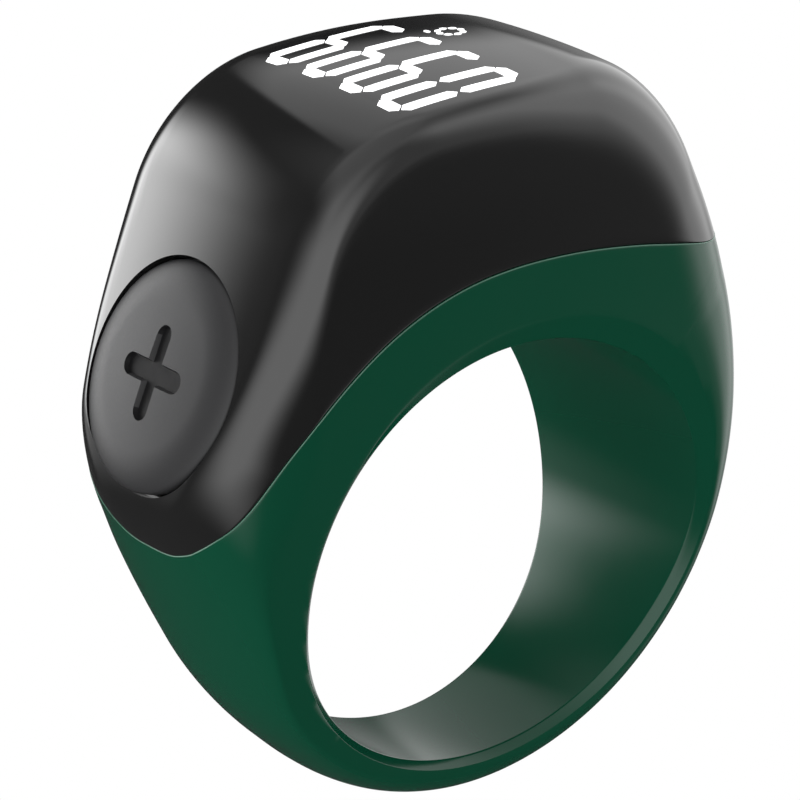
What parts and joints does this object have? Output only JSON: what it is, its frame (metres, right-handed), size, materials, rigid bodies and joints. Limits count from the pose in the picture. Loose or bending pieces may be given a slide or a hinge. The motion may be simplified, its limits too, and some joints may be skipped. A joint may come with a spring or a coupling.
{
  "type": "digital tasbih counter",
  "caption": "Finger-worn digital tally counter: moulded ring band, glossy head with a hidden display, and a round side button that slides in to count.",
  "frame": {"origin": "on the finger bore's axis, level with the middle of the display", "axes": "+Y along the finger bore; +Z from the finger up through the display; the count button faces -X and upward"},
  "size_m": [0.0284, 0.0154, 0.0331],
  "materials": {
    "band_plastic": "satin moulded dark green",
    "shell_plastic": "polished piano black, slightly tinted over the display",
    "button_plastic": "satin charcoal with a spun look",
    "seal_rubber": "soft black",
    "spring_steel": "stamped",
    "switch_plastic": "moulded black",
    "plunger_plastic": "moulded ivory",
    "board_laminate": "solder-masked laminate",
    "flex_film": "amber polyimide film",
    "display_glass": "dark bonded display",
    "carrier_plastic": "moulded grey",
    "chip_epoxy": "moulded epoxy",
    "antenna_ceramic": "fired ceramic",
    "component_ceramic": "fired ceramic with tinned ends",
    "cell_foil": "laminated foil",
    "weight_metal": "sintered heavy metal",
    "lead_plastic": "insulated wire",
    "gold_plating": "gold plated"
  },
  "bodies": {
    "ring": {"ring_body": "band_plastic", "head_shell": "shell_plastic", "stem_seal": "seal_rubber", "switch_case": "switch_plastic", "switch_board": "board_laminate", "switch_flex": "flex_film", "display_glass": "display_glass", "display_gasket": "seal_rubber", "display_carrier": "carrier_plastic", "display_flex": "flex_film", "main_board": "board_laminate", "processor_chip": "chip_epoxy", "memory_chip": "chip_epoxy", "charger_chip": "chip_epoxy", "clock_crystal": "spring_steel", "radio_antenna": "antenna_ceramic", "small_components": "component_ceramic", "board_insulator": "flex_film", "cell": "cell_foil", "cell_tabs": "spring_steel", "cell_pad": "seal_rubber", "motor_case": "spring_steel", "motor_leads": "lead_plastic", "charge_pins": "gold_plating"},
    "button": {"count_button": "button_plastic", "stem_clip": "spring_steel"},
    "plunger": {"switch_plunger": "plunger_plastic"},
    "rotor": {"motor_shaft": "spring_steel", "motor_weight": "weight_metal"}
  },
  "joints": [
    {"name": "count_press", "type": "slide", "parent": "ring", "child": "button", "axis": [0.9041, 0, -0.4274], "range_m": [0, 0.0003], "stiffness_N_per_m": 600, "springref_m": -0.001},
    {"name": "switch_press", "type": "slide", "parent": "ring", "child": "plunger", "axis": [0.9041, 0, -0.4274], "range_m": [0, 0.0003]},
    {"name": "motor_spin", "type": "hinge", "parent": "ring", "child": "rotor", "pos_m": [0.00864, 0, 0.0103], "axis": [0, 1, 0], "continuous": true}
  ],
  "couplings": [
    {"joint": "switch_press", "follows": "count_press", "ratio": 1}
  ]
}
